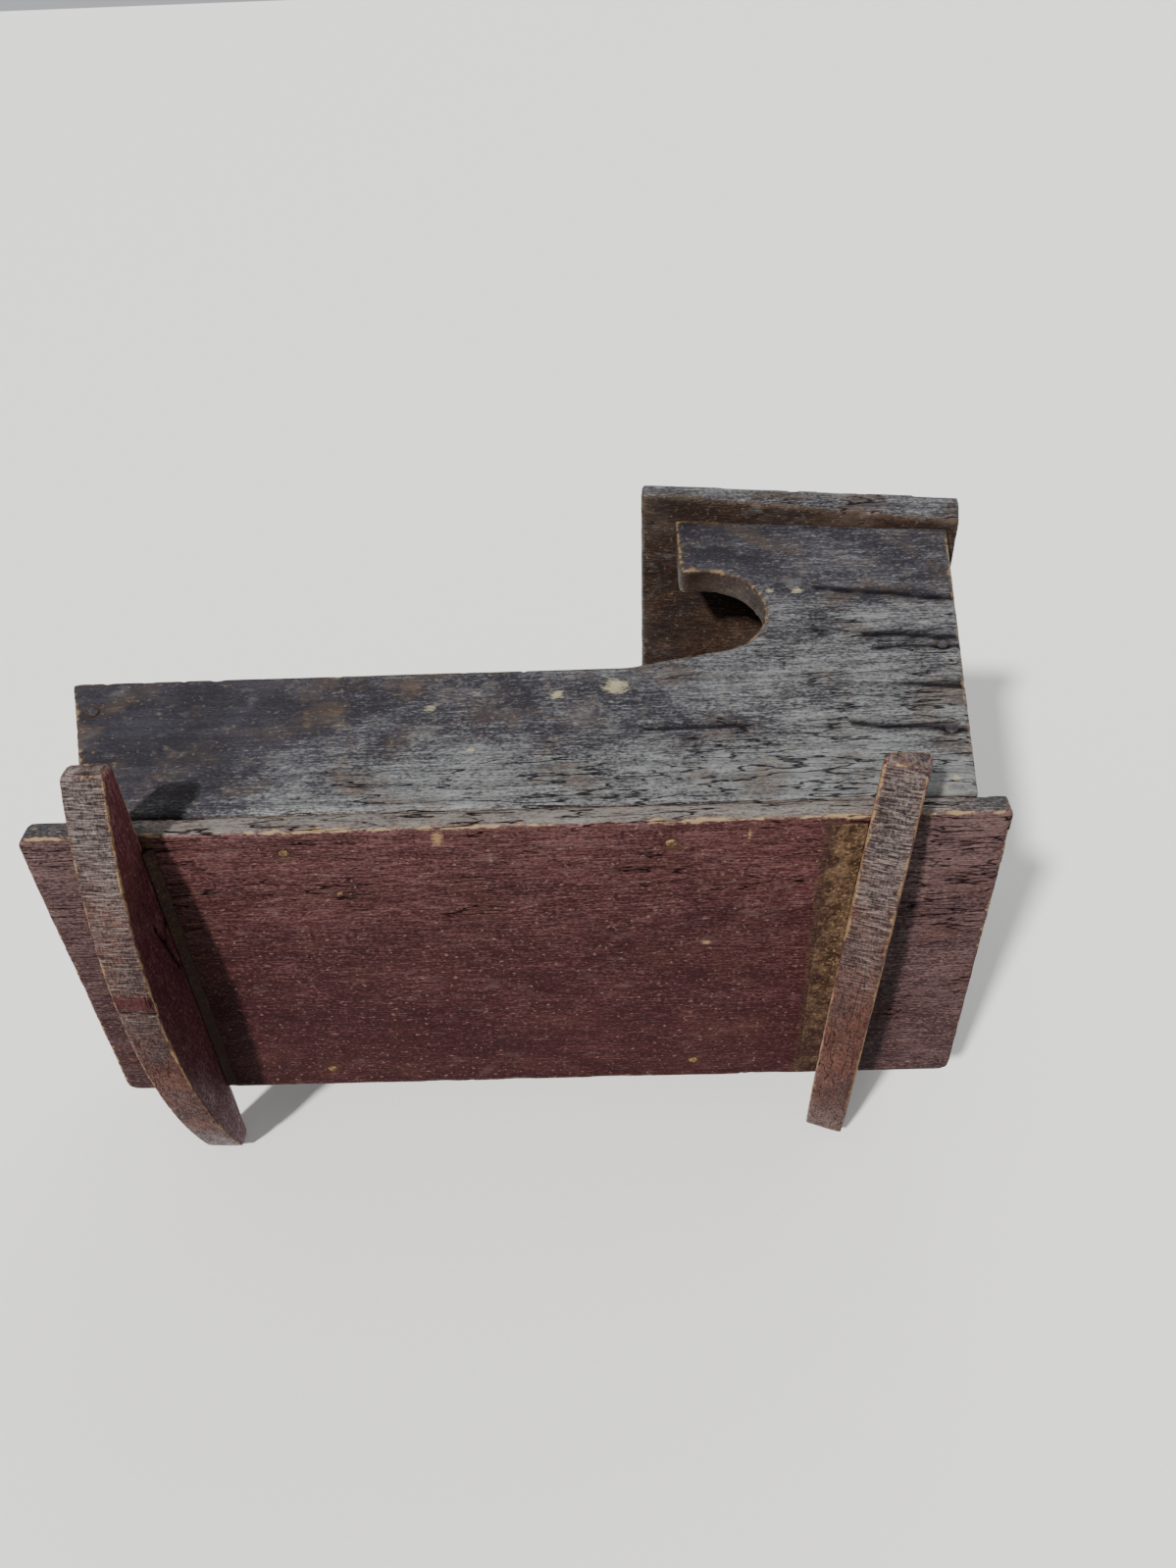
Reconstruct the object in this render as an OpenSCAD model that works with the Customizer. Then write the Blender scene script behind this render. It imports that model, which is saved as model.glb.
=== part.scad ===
// Doll's rocking cradle: a narrow flared box of thin sawn boards on two curved rockers,
// with a flat roof over the head end and a round notch cut in each side under the roof.
// X runs from the foot end to the head end, Y across, Z up. The floor is z = 0, and the
// origin is on the floor under the middle of the whole cradle.

/* [Bottom board] */
// length of the bottom board
board_length = 150; // [120:1:200]
// width of the bottom board
board_width = 62.4; // [50:0.2:90]
// thickness of the bottom board
board_thickness = 4.2; // [3:0.1:8]
// height of the bottom board's underside above the floor
ground_clearance = 12.5; // [9:0.5:20]
// how far the bottom board sticks out past the sides at the foot end
foot_ledge = 9; // [0:0.5:20]
// how far the bottom board sticks out past the sides at the head end
head_ledge = 4.4; // [0:0.2:20]

/* [Side boards] */
// thickness of each side board
side_thickness = 5.6; // [4:0.1:8]
// lean of each side outwards, degrees
flare = 11.3; // [4:0.1:20]
// height of the low rim above the bottom board
rim_height = 28.8; // [18:0.2:36]
// length of the hood along the bottom of the sides
hood_length = 42; // [32:0.5:60]
// height of the sides at the front of the hood, above the bottom board
hood_height = 66.2; // [56:0.2:90]

/* [Round notch] */
// radius of the round notch in each side
notch_radius = 10.2; // [7:0.1:12]
// height of the notch's middle above the bottom board
notch_height = 41.8; // [38:0.2:44]
// distance of the notch's middle behind the hood's front edge
notch_setback = 3.9; // [1:0.1:8]
// length of the low ramp that leads from the rim into the notch
ramp_length = 14; // [8:0.5:30]
// how far the hood's lower front corner hangs below the top of the notch
beak_drop = 0.2; // [0.1:0.1:1]
// radius on the hood's lower front corner
corner_radius = 1.5; // [0.5:0.1:3]

/* [End boards] */
// thickness of the foot board and the head board
end_thickness = 4.2; // [3:0.1:8]
// lean of the foot board outwards, degrees
foot_rake = 17.6; // [0:0.1:25]
// lean of the head board outwards, degrees
head_rake = 7.3; // [0:0.1:20]
// distance of both end boards in from the ends of the sides
end_inset = 1; // [0:0.1:4]
// height of the foot board above the bottom board
foot_board_height = 28.8; // [16:0.2:36]

/* [Roof] */
// thickness of the roof board
roof_thickness = 4.5; // [3:0.1:8]
// fall of the roof towards the head end, degrees
roof_slope = 5.5; // [0:0.1:10]
// overhang of the roof in front of the hood's front edge
roof_front_overhang = 6.4; // [0:0.2:12]
// overhang of the roof behind the sides at the head end
roof_back_overhang = 2.2; // [0:0.1:8]
// overhang of the roof past the outer face of each side at the front
roof_side_overhang = 5; // [1:0.1:12]
// how much each long edge of the roof comes in over its length, degrees
roof_taper = 1.8; // [0:0.1:4]
// slant of the planed bevel under each long edge of the roof, degrees
bevel_slant = 34.5; // [20:0.5:50]
// turn of the planed bevel, which makes it grow towards the head end, degrees
bevel_turn = 4.8; // [2:0.1:8]

/* [Rockers] */
// thickness of each rocker
rocker_thickness = 6.8; // [4:0.1:10]
// radius of the rocking edge
rocker_radius = 117; // [90:1:200]
// length of the foot rocker from tip to tip
foot_rocker_length = 91; // [76:1:100]
// length of the head rocker from tip to tip
head_rocker_length = 87; // [76:1:100]
// distance from the foot rocker's inner face to the foot end of the bottom board
foot_rocker_setback = 19.3; // [10:0.1:40]
// distance from the head rocker's inner face to the head end of the bottom board
head_rocker_setback = 22.8; // [10:0.1:40]
// lean of the foot rocker's lower edge towards the foot end, degrees
foot_rocker_lean = 3.5; // [0:0.1:15]
// lean of the head rocker's lower edge towards the foot end, degrees
head_rocker_lean = 20; // [0:0.1:25]
// turn of the head rocker seen from above, degrees
head_rocker_turn = 2.4; // [0:0.1:6]

/* [Nails] */
// diameter of a nail's shank
nail_diameter = 1.2; // [0.8:0.1:2]
// diameter of a nail's head
nail_head_diameter = 2; // [1.4:0.1:3]
// thickness of a nail's head
nail_head_thickness = 0.5; // [0.3:0.1:1]
// length of a nail
nail_length = 11.5; // [8:0.5:16]
// distance of the bottom nails from the edge of the bottom board
bottom_nail_inset = 5; // [4:0.1:6]
// gap around a nail in its hole
nail_clearance = 0.05; // [0.02:0.01:0.2]

/* [Glue] */
// thickness of the hardened glue
glue_thickness = 0.6; // [0.4:0.1:1]
// width of the old glue track beside the head rocker
glue_track_width = 4.8; // [2:0.1:8]
// width of the glue fillet beside the foot rocker
glue_fillet_width = 1.6; // [1:0.1:3]

/* [Hidden] */
$fn = 96;
far = 400;
floor_top = ground_clearance + board_thickness;    // top of the bottom board
foot_x = -board_length / 2 + foot_ledge;           // foot end of the sides, at the bottom board
head_x = board_length / 2 - head_ledge;            // head end of the sides, at the bottom board
hood_x = head_x - hood_length;                     // front edge of the hood
rocker_foot_x = -board_length / 2 + foot_rocker_setback;
rocker_head_x = board_length / 2 - head_rocker_setback;

// half widths across the box at a height h above the bottom board
function outer_half(h) = board_width / 2 + h * tan(flare);
function inner_half(h) = outer_half(h) - side_thickness / cos(flare);

// the sides' outer face in its own plane: u along X, v up the slope
function up_slope(h) = h / cos(flare);
foot_run = tan(foot_rake) * cos(flare);
head_run = tan(head_rake) * cos(flare);
rim_v = up_slope(rim_height);
notch_u = hood_x + notch_setback;
notch_v = up_slope(notch_height);
beak_v = notch_v + notch_radius - beak_drop;       // the hood's lower edge, in front of the notch

// the roof's underside, whose height is hood_height over the hood's front edge
back_h = (hood_height - (head_x - hood_x) * tan(roof_slope)) / (1 + tan(head_rake) * tan(roof_slope));
back_x = head_x + back_h * tan(head_rake);         // head end of the sides, under the roof
roof_run = (back_x + roof_back_overhang - hood_x + roof_front_overhang) / cos(roof_slope);
roof_half = outer_half(hood_height) + roof_side_overhang;

// the cradle's ends, for the middle of the whole part
x_min = min(-board_length / 2, foot_x - rim_height * tan(foot_rake));
x_max = max(board_length / 2, back_x + roof_back_overhang + roof_thickness * sin(roof_slope));
x_mid = (x_min + x_max) / 2;

// nail places along the joints, as heights above the bottom board or distances along X
bottom_nails_right_x = [-35, 24];
bottom_nails_left_x = [-36.5, 28.5];
foot_nail_h = [0.28 * foot_board_height, 0.77 * foot_board_height];
head_nail_h = [0.2 * hood_height, 0.48 * hood_height, 0.76 * hood_height];
roof_nail_x = [hood_x + 9, back_x - 11];

// ---- shared shapes ----

// moves the origin from under the bottom board's middle to under the whole cradle's middle
module centred() translate([-x_mid, 0, 0]) children();

// everything above the height z
module above(z) translate([-far / 2, -far / 2, z]) cube([far, far, far]);

// everything under the roof's sloping underside
module under_roof()
    translate([hood_x, 0, floor_top + hood_height]) rotate([0, roof_slope, 0])
        translate([-far / 2, -far / 2, -far]) cube([far, far, far]);

// the space between the inner faces of the sides
module between_sides()
    rotate([90, 0, 90]) translate([0, 0, -far / 2]) linear_extrude(far)
        polygon([[-inner_half(-1), floor_top - 1], [inner_half(-1), floor_top - 1],
            [inner_half(hood_height + 20), floor_top + hood_height + 20],
            [-inner_half(hood_height + 20), floor_top + hood_height + 20]]);

// one nail, its head's top at the origin and its point towards -Z
module nail() {
    translate([0, 0, -nail_head_thickness]) cylinder(h = nail_head_thickness, r = nail_head_diameter / 2);
    translate([0, 0, -nail_length]) cylinder(h = nail_length - nail_head_thickness / 2, r = nail_diameter / 2);
}

// the hole that one nail sits in, with the clearance round it
module nail_hole() {
    translate([0, 0, -nail_head_thickness])
        cylinder(h = nail_head_thickness + 2, r = nail_head_diameter / 2 + nail_clearance);
    translate([0, 0, -nail_length])
        cylinder(h = nail_length + 1, r = nail_diameter / 2 + nail_clearance);
}

// places each group's nail or hole; the child points towards -Z
module at_bottom_nails()
    for (s = [-1, 1], x = s < 0 ? bottom_nails_right_x : bottom_nails_left_x)
        translate([x, s * (board_width / 2 - bottom_nail_inset), ground_clearance + 0.25])
            rotate([-s * flare, 0, 0]) mirror([0, 0, 1]) children();

module at_side(s, x, h)
    translate([x, s * outer_half(h), floor_top + h]) rotate([-s * (90 + flare), 0, 0]) children();

module at_foot_nails()
    for (s = [-1, 1], h = foot_nail_h)
        at_side(s, foot_x + end_inset + end_thickness / 2 / cos(foot_rake) - h * tan(foot_rake), h) children();

module at_head_nails()
    for (s = [-1, 1], h = head_nail_h)
        at_side(s, head_x - end_inset - end_thickness / 2 / cos(head_rake) + h * tan(head_rake), h) children();

module at_roof_nails()
    for (s = [-1, 1], x = roof_nail_x)
        translate([hood_x, 0, floor_top + hood_height]) rotate([0, roof_slope, 0])
            translate([(x - hood_x) / cos(roof_slope),
                s * (inner_half(hood_height - (x - hood_x) * tan(roof_slope) - 3) + side_thickness / 2),
                roof_thickness]) children();

// ---- the boards ----

module side_outline() {
    low = up_slope(-4);
    high = up_slope(hood_height + 20);
    difference() {
        polygon([[foot_x - low * foot_run, low], [foot_x - high * foot_run, high],
            [head_x + high * head_run, high], [head_x + low * head_run, low]]);
        // the open part in front of the hood, down to the rim and the ramp
        polygon([[foot_x - far, rim_v], [notch_u - ramp_length, rim_v], [notch_u, notch_v - notch_radius],
            [notch_u, beak_v], [hood_x, beak_v], [hood_x, high + 1], [foot_x - far, high + 1]]);
        translate([notch_u, notch_v]) circle(r = notch_radius);
        // the hood's lower front corner, rounded
        translate([hood_x, beak_v]) difference() {
            translate([-1, -1]) square(corner_radius + 1);
            translate([corner_radius, corner_radius]) circle(r = corner_radius);
        }
    }
}

// the side at +Y; the other one is its mirror image
module side_board_plain()
    intersection() {
        translate([0, board_width / 2, floor_top]) rotate([-flare, 0, 0]) rotate([90, 0, 0])
            linear_extrude(side_thickness) side_outline();
        above(floor_top);
        under_roof();
    }

module side_with_holes(s)
    difference() {
        mirror([0, s < 0 ? 1 : 0, 0]) side_board_plain();
        at_bottom_nails() nail_hole();
        at_foot_nails() nail_hole();
        at_head_nails() nail_hole();
        at_roof_nails() nail_hole();
    }

module bottom_board()
    color("#4a2630") centred() difference() {
        translate([-board_length / 2, -board_width / 2, ground_clearance])
            cube([board_length, board_width, board_thickness]);
        at_bottom_nails() nail_hole();
    }

module side_board_right() color("#4b4d55") centred() side_with_holes(-1);
module side_board_left() color("#4b4d55") centred() side_with_holes(1);

module foot_board()
    color("#4a4448") centred() difference() {
        intersection() {
            translate([foot_x + end_inset, 0, floor_top]) rotate([0, -foot_rake, 0])
                translate([0, -far / 2, -5]) cube([end_thickness, far, foot_board_height * 2 + 10]);
            between_sides();
            translate([-far / 2, -far / 2, floor_top]) cube([far, far, foot_board_height]);
        }
        at_foot_nails() nail_hole();
    }

module head_board()
    color("#4a4448") centred() difference() {
        intersection() {
            translate([head_x - end_inset, 0, floor_top]) rotate([0, head_rake, 0])
                translate([-end_thickness, -far / 2, -5]) cube([end_thickness, far, hood_height * 2]);
            between_sides();
            above(floor_top);
            under_roof();
        }
        at_head_nails() nail_hole();
    }

// the roof board lies on the hood; its long edges come in and are bevelled underneath
module hood_roof()
    color("#3d3634") centred() difference() {
        translate([hood_x, 0, floor_top + hood_height]) rotate([0, roof_slope, 0])
            translate([-roof_front_overhang / cos(roof_slope), 0, 0]) difference() {
                linear_extrude(roof_thickness)
                    polygon([[0, -roof_half], [roof_run, -roof_half + roof_run * tan(roof_taper)],
                        [roof_run, roof_half - roof_run * tan(roof_taper)], [0, roof_half]]);
                for (s = [0, 1]) mirror([0, s, 0])
                    translate([0, roof_half, 0]) rotate([0, 0, -bevel_turn]) rotate([-bevel_slant, 0, 0])
                        translate([-20, 0, -20]) cube([roof_run + 60, 40, 60]);
            }
        at_roof_nails() nail_hole();
    }

// ---- the rockers ----

// depth is from the board's underside to the rocking edge, along the rocker's own face
module rocker_outline(length, depth)
    intersection() {
        translate([-length / 2, -depth]) square([length, depth + 6]);
        translate([0, rocker_radius - depth]) circle(r = rocker_radius, $fn = 180);
    }

// inner is the x of the face that looks towards the middle of the cradle
module rocker(inner, side, length, lean, turn) {
    low_side = side > 0 ? rocker_thickness * sin(lean) : 0;
    depth = (ground_clearance - low_side) / cos(lean);
    difference() {
        translate([inner, 0, ground_clearance]) rotate([0, 0, turn]) rotate([0, lean, 0])
            translate([side > 0 ? 0 : -rocker_thickness, 0, 0]) rotate([90, 0, 90])
                linear_extrude(rocker_thickness) rocker_outline(length, depth);
        above(ground_clearance);
    }
}

module foot_rocker_plain() rocker(rocker_foot_x, -1, foot_rocker_length, foot_rocker_lean, 0);
module head_rocker_plain()
    rocker(rocker_head_x, 1, head_rocker_length, head_rocker_lean, head_rocker_turn);

module foot_rocker() color("#3f3d40") centred() foot_rocker_plain();
module head_rocker() color("#3f3d40") centred() head_rocker_plain();

// ---- nails and glue ----

module bottom_nails() color("#8a6a3c") centred() at_bottom_nails() nail();
module foot_board_nails() color("#8a6a3c") centred() at_foot_nails() nail();
module head_board_nails() color("#8a6a3c") centred() at_head_nails() nail();
module roof_nails() color("#8a6a3c") centred() at_roof_nails() nail();

// a low fillet of hardened glue along the foot rocker's inner face
module foot_rocker_glue()
    color("#7a5a30") centred() difference() {
        translate([rocker_foot_x - 1, 0.46 * board_width, ground_clearance]) rotate([90, 0, 0])
            linear_extrude(0.92 * board_width)
                polygon([[0, 0], [1 + glue_fillet_width, 0], [1, -glue_fillet_width], [0, -glue_fillet_width]]);
        foot_rocker_plain();
    }

// a flat track of old glue on the underside, where the head rocker was first fixed
module head_rocker_glue()
    color("#8c6b35") centred() difference() {
        translate([rocker_head_x - glue_track_width, -0.48 * board_width, ground_clearance - glue_thickness])
            cube([glue_track_width + 2.5, 0.96 * board_width, glue_thickness]);
        head_rocker_plain();
    }

bottom_board();
side_board_right();
side_board_left();
foot_board();
head_board();
hood_roof();
foot_rocker();
head_rocker();
bottom_nails();
foot_board_nails();
head_board_nails();
roof_nails();
foot_rocker_glue();
head_rocker_glue();
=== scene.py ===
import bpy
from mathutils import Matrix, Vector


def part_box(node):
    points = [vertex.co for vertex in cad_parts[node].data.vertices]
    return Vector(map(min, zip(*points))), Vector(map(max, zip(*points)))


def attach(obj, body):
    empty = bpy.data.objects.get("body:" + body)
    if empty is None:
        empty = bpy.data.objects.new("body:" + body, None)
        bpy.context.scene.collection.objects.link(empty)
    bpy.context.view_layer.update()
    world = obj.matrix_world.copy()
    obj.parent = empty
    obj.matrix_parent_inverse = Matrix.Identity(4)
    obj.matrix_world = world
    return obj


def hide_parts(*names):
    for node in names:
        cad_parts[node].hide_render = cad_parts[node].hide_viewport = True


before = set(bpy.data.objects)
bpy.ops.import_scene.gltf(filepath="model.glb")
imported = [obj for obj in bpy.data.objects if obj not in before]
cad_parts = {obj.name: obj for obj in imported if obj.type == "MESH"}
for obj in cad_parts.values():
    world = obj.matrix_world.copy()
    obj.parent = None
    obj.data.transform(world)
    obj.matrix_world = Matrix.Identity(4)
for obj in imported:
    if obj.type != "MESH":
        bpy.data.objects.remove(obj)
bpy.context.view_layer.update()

import math

import bmesh
import bpy
import numpy as np
from mathutils import Matrix, Vector

bl_info = {
    "name": "Hooded Doll's Cradle",
    "version": (1, 0, 0),
    "blender": (4, 5, 0),
    "location": "3D Viewport > Sidebar > Cradle",
    "description": "Builds an old hooded doll's cradle from its measured frame: worn boards, rockers, nails and glue",
    "category": "Object",
}

MM = 0.001
WELD = 1e-6  # corners of a CAD mesh that lie closer together than this, in metres, are one corner
NAIL_NODES = ("bottom_nails", "foot_board_nails", "head_board_nails", "roof_nails")


def paint(code):
    """A colour written as sRGB hex, as the linear RGBA that a shader reads."""
    parts = [int(code[i : i + 2], 16) / 255 for i in (0, 2, 4)]
    return tuple(c / 12.92 if c <= 0.04045 else ((c + 0.055) / 1.055) ** 2.4 for c in parts) + (1.0,)


# ---------------------------------------------------------------- noise and distances


def lattice(ix, iy, iz, seed):
    """A repeatable number between -1 and 1 for each corner of a cubic lattice."""
    h = (ix * 73856093) ^ (iy * 19349663) ^ (iz * 83492791) ^ (seed * 2654435761)
    h = (h & 0xFFFFFFFF) * 1274126177 & 0xFFFFFFFF
    h = (h ^ (h >> 15)) * 2246822519 & 0xFFFFFFFF
    return ((h ^ (h >> 13)) & 0xFFFF) / 32767.5 - 1


def noise(points, size, seed, octaves=2):
    """Smooth noise, about -1 to 1. size is the width of its features in metres: one number, or one for each axis."""
    total, weight = np.zeros(len(points)), 0.0
    for octave in range(octaves):
        p = points / (np.array(size) / 2**octave) + 37.7 * (octave + 1)
        cell = np.floor(p).astype(np.int64)
        f = p - cell
        f = f * f * (3 - 2 * f)
        value = np.zeros(len(points))
        for corner in range(8):
            d = [(corner >> k) & 1 for k in range(3)]
            share = np.ones(len(points))
            for k in range(3):
                share = share * (f[:, k] if d[k] else 1 - f[:, k])
            value += share * lattice(cell[:, 0] + d[0], cell[:, 1] + d[1], cell[:, 2] + d[2], seed + octave)
        total += value / 2**octave
        weight += 1 / 2**octave
    return total / weight * 1.5


def step(low, high, x):
    """0 below low, 1 above high and smooth between them. low may be the bigger one."""
    t = np.clip((x - low) / (high - low), 0, 1)
    return t * t * (3 - 2 * t)


def bell(x, half, power=2):
    """1 where x is 0, falling off on both sides over a width of about half."""
    return np.exp(-((x / half) ** power))


def distance_to(points, segments):
    """How far each point lies from the nearest of some line segments."""
    best = np.full(len(points), 1e3)
    for a, b in segments:
        ab = b - a
        t = np.clip((points - a) @ ab / max(ab @ ab, 1e-18), 0, 1)
        best = np.minimum(best, np.linalg.norm(points - a - t[:, None] * ab, axis=1))
    return best


def spots(p, sizes):
    """How near each point is to the nearest spot: 1 in its middle, 0 at its rim and less beyond.

    sizes holds each spot's centre and half widths, in metres."""
    best = np.full(len(p), -1.0)
    for centre, size in sizes:
        best = np.maximum(best, 1 - np.linalg.norm((p - np.array(centre)) / np.array(size), axis=1))
    return best


# ---------------------------------------------------------------- meshes


def hull_of(node):
    """A convex node as a plain closed mesh, with its nail holes filled."""
    bm = bmesh.new()
    bm.from_mesh(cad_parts[node].data)
    made = bmesh.ops.convex_hull(bm, input=bm.verts)
    loose = {g for g in made["geom_interior"] + made["geom_unused"] if isinstance(g, bmesh.types.BMVert)}
    bmesh.ops.delete(bm, geom=list(loose), context="VERTS")
    bm.faces.ensure_lookup_table()
    keep = {g for g in made["geom"] if isinstance(g, bmesh.types.BMFace) and g.is_valid}
    bmesh.ops.delete(bm, geom=[f for f in bm.faces if f not in keep], context="FACES")
    return bm


def slab_of(node, turn):
    """A board with a cut-out as a plain closed mesh without nail holes: the outlines of its two broad faces, joined."""
    bm = bmesh.new()
    bm.from_mesh(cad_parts[node].data)
    bmesh.ops.remove_doubles(bm, verts=bm.verts, dist=WELD)
    out, ends = bmesh.new(), []
    for across in (turn.col[2], -turn.col[2]):
        broad = {f for f in bm.faces if f.normal.dot(across) > 0.999}
        rim = [e for e in bm.edges if sum(f in broad for f in e.link_faces) == 1]
        joins = {}
        for e in rim:
            for v in e.verts:
                joins.setdefault(v, []).append(e)
        loops, used = [], set()
        for e in rim:
            if e in used:
                continue
            loop, v = [e.verts[0]], e.verts[1]
            used.add(e)
            while v is not loop[0]:
                loop.append(v)
                edge = [n for n in joins[v] if n not in used][0]
                used.add(edge)
                v = edge.other_vert(v)
            loops.append(loop)
        outline = max(loops, key=lambda l: max((v.co - l[0].co).length for v in l))
        verts = [out.verts.new(v.co) for v in outline]
        ends += [out.edges.new((verts[i - 1], verts[i])) for i in range(len(verts))]
        out.faces.new(verts)
    bmesh.ops.bridge_loops(out, edges=ends)
    bm.free()
    return out


def remeshed(bm, cell):
    """The mesh as even little quads of one size, which lets wear, dents and saw marks be real shapes."""
    bmesh.ops.recalc_face_normals(bm, faces=bm.faces)
    mesh = bpy.data.meshes.new("plain")
    bm.to_mesh(mesh)
    bm.free()
    obj = bpy.data.objects.new("plain", mesh)
    bpy.context.scene.collection.objects.link(obj)
    voxels = obj.modifiers.new("Voxels", "REMESH")
    voxels.mode, voxels.voxel_size, voxels.adaptivity = "VOXEL", cell, 0
    soft = obj.modifiers.new("Soften", "SMOOTH")
    soft.factor, soft.iterations = 0.5, 2
    fine = bpy.data.meshes.new_from_object(obj.evaluated_get(bpy.context.evaluated_depsgraph_get()))
    bpy.data.objects.remove(obj)
    bpy.data.meshes.remove(mesh)
    if not len(fine.vertices):
        raise RuntimeError("the remesh gave nothing")
    return fine


def points_of(mesh):
    """Every vertex's place and normal."""
    p, n = np.empty(len(mesh.vertices) * 3), np.empty(len(mesh.vertices) * 3)
    mesh.vertices.foreach_get("co", p)
    mesh.vertex_normals.foreach_get("vector", n)
    return p.reshape(-1, 3), n.reshape(-1, 3)


def pushed_in(mesh, p, n, depth):
    """Moves every vertex inwards by its depth, and gives the new places."""
    p = p - n * depth[:, None]
    mesh.vertices.foreach_set("co", p.astype(np.float32).ravel())
    mesh.update()
    mesh.shade_smooth()
    return p


def finished(name, mesh, material, node):
    """Makes the piece, gives it its material, hangs it on the root body and hides the CAD node that it stands for."""
    piece = bpy.data.objects.new(name, mesh)
    bpy.context.scene.collection.objects.link(piece)
    mesh.materials.clear()
    mesh.materials.append(material)
    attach(piece, "root")
    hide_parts(node)


def nails_of(node):
    """Head point, tip, head radius and shank radius of each nail of a node, measured from its CAD solids."""
    bm = bmesh.new()
    bm.from_mesh(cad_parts[node].data)
    bmesh.ops.remove_doubles(bm, verts=bm.verts, dist=WELD)
    left, found = set(bm.verts), []
    while left:
        group, todo = set(), [next(iter(left))]
        while todo:
            v = todo.pop()
            if v not in group:
                group.add(v)
                todo += [e.other_vert(v) for e in v.link_edges]
        left -= group
        p = np.array(sorted(tuple(v.co) for v in group))
        centre = p.mean(axis=0)
        far = p[np.argmax(np.linalg.norm(p - centre, axis=1))]
        axis = (far - centre) / np.linalg.norm(far - centre)
        for _ in range(3):  # each round brings the axis closer to the line through the middles of both ends
            t = (p - centre) @ axis
            a, b = p[t < t.min() + 0.2 * MM].mean(axis=0), p[t > t.max() - 0.2 * MM].mean(axis=0)
            axis = (b - a) / np.linalg.norm(b - a)
        t = (p - a) @ axis
        radius = np.linalg.norm(p - a - t[:, None] * axis, axis=1)
        near, off = radius[t < 0.3 * MM].max(), radius[t > t.max() - 0.3 * MM].max()
        ends = (a, b) if near > off else (b, a)
        found.append((Vector(ends[0]), Vector(ends[1]), max(near, off), min(near, off)))
    bm.free()
    return sorted(found, key=lambda nail: tuple(round(c, 5) for c in nail[0]))


def worn_board(node, material, seed, fields, turn=None, cell=None, corners=None, cut_out=False, carve=None, wear=1.0):
    """Rebuilds a CAD board with softened, dented arrises and an uneven surface, and puts it in the CAD board's place.

    fields(points, normals) gives numbers per vertex for the shader, by name. turn holds the board's own axes as
    columns: along its grain, across it, and through its thickness. corners(edge) gives how far an edge is rounded.
    carve(points, normals) gives how deep each vertex is pushed in, in metres. Points are in the row's frame."""
    looks = bpy.context.scene.cradle_looks
    turn = turn or Matrix.Identity(3)
    bm = slab_of(node, turn) if cut_out else hull_of(node)
    bmesh.ops.dissolve_limit(bm, angle_limit=math.radians(1), verts=bm.verts, edges=bm.edges)
    sharp = [e for e in bm.edges if e.is_manifold and e.calc_face_angle() > math.radians(28)]
    segments = [(np.array(e.verts[0].co), np.array(e.verts[1].co)) for e in sharp]
    if corners:
        wanted = {}
        for e in sharp:
            wanted.setdefault(corners(e), []).append(e)
        for radius in sorted(wanted, reverse=True):
            if radius:
                edges = [e for e in wanted[radius] if e.is_valid]
                shape = dict(offset=radius, segments=5, profile=0.5, affect="EDGES", clamp_overlap=True)
                bmesh.ops.bevel(bm, geom=edges, **shape)
    bmesh.ops.transform(bm, matrix=turn.inverted().to_4x4(), verts=bm.verts)
    mesh = remeshed(bm, cell or looks.cell)
    mesh.transform(turn.to_4x4())
    mesh.update()
    p, n = points_of(mesh)
    arris = distance_to(p, segments)
    own = p @ np.array(turn)  # in the board's own axes, so that the hollows follow its grain
    depth = 0.04 * MM * (1 + noise(own, (9 * MM, 1.6 * MM, 1.6 * MM), seed, 3))
    depth += 0.03 * MM * (1 + noise(own, (25 * MM, 9 * MM, 9 * MM), seed + 11, 2))
    dents = step(0.35, 0.95, noise(p, 2.6 * MM, seed + 23, 3))
    depth += looks.arris_wear * wear * step(1.1 * MM, 0.1 * MM, arris) * (0.3 + 1.6 * dents)
    # the wood is crushed a little round each nail head
    heads = [np.array(nail[0]) for nails in NAIL_NODES for nail in nails_of(nails)]
    to_nail = np.min([np.linalg.norm(p - head, axis=1) for head in heads], axis=0)
    depth += looks.nail_dent * step(2.0 * MM, 1.1 * MM, to_nail)
    if carve:
        depth += carve(p, n)
    p = pushed_in(mesh, p, n, depth)
    zero = np.zeros(len(p))
    given = dict(stain=zero, age=zero, sawn=zero, tone=zero, rust=zero, kept=zero, dark=zero, mark=zero - 1)
    given |= fields(p, n)
    given["rust"] = np.maximum(given["rust"], step(2.6 * MM, 0.9 * MM, to_nail))
    # kept arrises lie against another board and aren't worn
    given["arris"] = np.clip(arris / MM + given.pop("kept"), 0, 9)
    for key, values in given.items():
        layer = mesh.attributes.new(key, "FLOAT", "POINT")
        layer.data.foreach_set("value", np.asarray(values, dtype=np.float32))
    finished(node + "_worn", mesh, material, node)


# ---------------------------------------------------------------- shader help


def add(tree, kind, links=None, **settings):
    """Adds one shader node. settings are its own properties; links gives inputs a socket to join or a value to set."""
    node = tree.nodes.new("ShaderNode" + kind)
    for key, value in settings.items():
        setattr(node, key, value)
    for key, value in (links or {}).items():
        if isinstance(value, bpy.types.NodeSocket):
            tree.links.new(value, node.inputs[key])
        else:
            node.inputs[key].default_value = value
    return node


def fresh(name):
    """A new material with just a Principled surface: its tree, that surface, and where on the object a point lies."""
    material = bpy.data.materials.new(name)
    material.use_nodes = True
    tree = material.node_tree
    tree.nodes.clear()
    surface = add(tree, "BsdfPrincipled")
    add(tree, "OutputMaterial", {"Surface": surface.outputs[0]})
    return material, tree, surface, add(tree, "TexCoord").outputs["Object"]


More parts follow.
